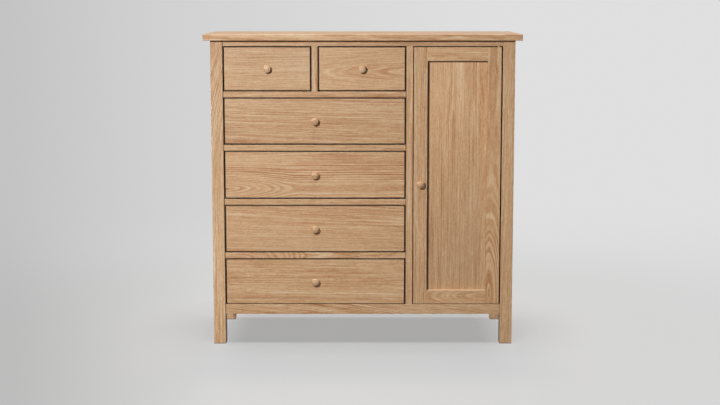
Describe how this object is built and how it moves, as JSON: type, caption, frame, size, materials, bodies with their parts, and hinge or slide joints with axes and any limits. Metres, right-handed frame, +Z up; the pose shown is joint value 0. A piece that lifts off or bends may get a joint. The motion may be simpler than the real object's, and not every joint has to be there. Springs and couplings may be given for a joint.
{
  "type": "chifforobe",
  "caption": "Post-and-rail wooden chest of drawers joined to a tall hanging cupboard, with sliding drawers, a hinged panelled door and round turned knobs.",
  "frame": {"origin": "on the floor, below the middle of the top board", "axes": "+X to the right seen from the front, +Y to the back, +Z up; drawers and door face -Y"},
  "size_m": [1.2, 0.5, 1.19],
  "materials": {
    "case_oak": "satin",
    "top_oak": "satin",
    "post_oak": "satin",
    "drawer_front_oak": "satin",
    "door_frame_oak": "satin",
    "field_panel_oak": "satin",
    "knob_oak": "satin",
    "drawer_box_oak": "satin",
    "panel_oak": "satin",
    "runner_oak": "satin",
    "rail_steel": "polished",
    "hinge_brass": "satin",
    "catch_steel": "brushed",
    "catch_plastic": "matte"
  },
  "bodies": {
    "case": {"top_panel": "top_oak", "front_left_post": "post_oak", "front_right_post": "post_oak", "rear_left_post": "post_oak", "rear_right_post": "post_oak", "side_rails": "case_oak", "side_panels": "field_panel_oak", "front_top_rail": "case_oak", "front_bottom_rail": "case_oak", "drawer_rails": "case_oak", "centre_stile": "case_oak", "top_muntin": "case_oak", "partition_panel": "panel_oak", "case_floor": "panel_oak", "back_frame": "case_oak", "back_panels": "panel_oak", "rear_bearer": "runner_oak", "drawer_runners": "runner_oak", "top_kickers": "runner_oak", "hanging_rail": "rail_steel", "rail_sockets": "rail_steel", "door_catch": "catch_plastic", "hinge_frame_leaves": "hinge_brass"},
    "top_left_drawer": {"top_left_drawer_front": "drawer_front_oak", "top_left_drawer_sides": "drawer_box_oak", "top_left_drawer_back": "drawer_box_oak", "top_left_drawer_bottom": "panel_oak", "top_left_drawer_knob": "knob_oak"},
    "top_right_drawer": {"top_right_drawer_front": "drawer_front_oak", "top_right_drawer_sides": "drawer_box_oak", "top_right_drawer_back": "drawer_box_oak", "top_right_drawer_bottom": "panel_oak", "top_right_drawer_knob": "knob_oak"},
    "second_drawer": {"second_drawer_front": "drawer_front_oak", "second_drawer_sides": "drawer_box_oak", "second_drawer_back": "drawer_box_oak", "second_drawer_bottom": "panel_oak", "second_drawer_knob": "knob_oak"},
    "third_drawer": {"third_drawer_front": "drawer_front_oak", "third_drawer_sides": "drawer_box_oak", "third_drawer_back": "drawer_box_oak", "third_drawer_bottom": "panel_oak", "third_drawer_knob": "knob_oak"},
    "fourth_drawer": {"fourth_drawer_front": "drawer_front_oak", "fourth_drawer_sides": "drawer_box_oak", "fourth_drawer_back": "drawer_box_oak", "fourth_drawer_bottom": "panel_oak", "fourth_drawer_knob": "knob_oak"},
    "bottom_drawer": {"bottom_drawer_front": "drawer_front_oak", "bottom_drawer_sides": "drawer_box_oak", "bottom_drawer_back": "drawer_box_oak", "bottom_drawer_bottom": "panel_oak", "bottom_drawer_knob": "knob_oak"},
    "door": {"door_knob_stile": "door_frame_oak", "door_hinge_stile": "door_frame_oak", "door_rails": "door_frame_oak", "door_panel": "field_panel_oak", "door_knob": "knob_oak", "hinge_door_leaves": "hinge_brass", "catch_strike_plate": "catch_steel"}
  },
  "joints": [
    {"name": "top_left_drawer_slide", "type": "slide", "parent": "case", "child": "top_left_drawer", "axis": [0, -1, 0], "range_m": [0, 0.32]},
    {"name": "top_right_drawer_slide", "type": "slide", "parent": "case", "child": "top_right_drawer", "axis": [0, -1, 0], "range_m": [0, 0.32]},
    {"name": "second_drawer_slide", "type": "slide", "parent": "case", "child": "second_drawer", "axis": [0, -1, 0], "range_m": [0, 0.32]},
    {"name": "third_drawer_slide", "type": "slide", "parent": "case", "child": "third_drawer", "axis": [0, -1, 0], "range_m": [0, 0.32]},
    {"name": "fourth_drawer_slide", "type": "slide", "parent": "case", "child": "fourth_drawer", "axis": [0, -1, 0], "range_m": [0, 0.32]},
    {"name": "bottom_drawer_slide", "type": "slide", "parent": "case", "child": "bottom_drawer", "axis": [0, -1, 0], "range_m": [0, 0.32]},
    {"name": "door_hinge", "type": "hinge", "parent": "case", "child": "door", "pos_m": [0.5125, -0.2185, 0.64935], "axis": [0, 0, 1], "range_deg": [0, 110]}
  ]
}
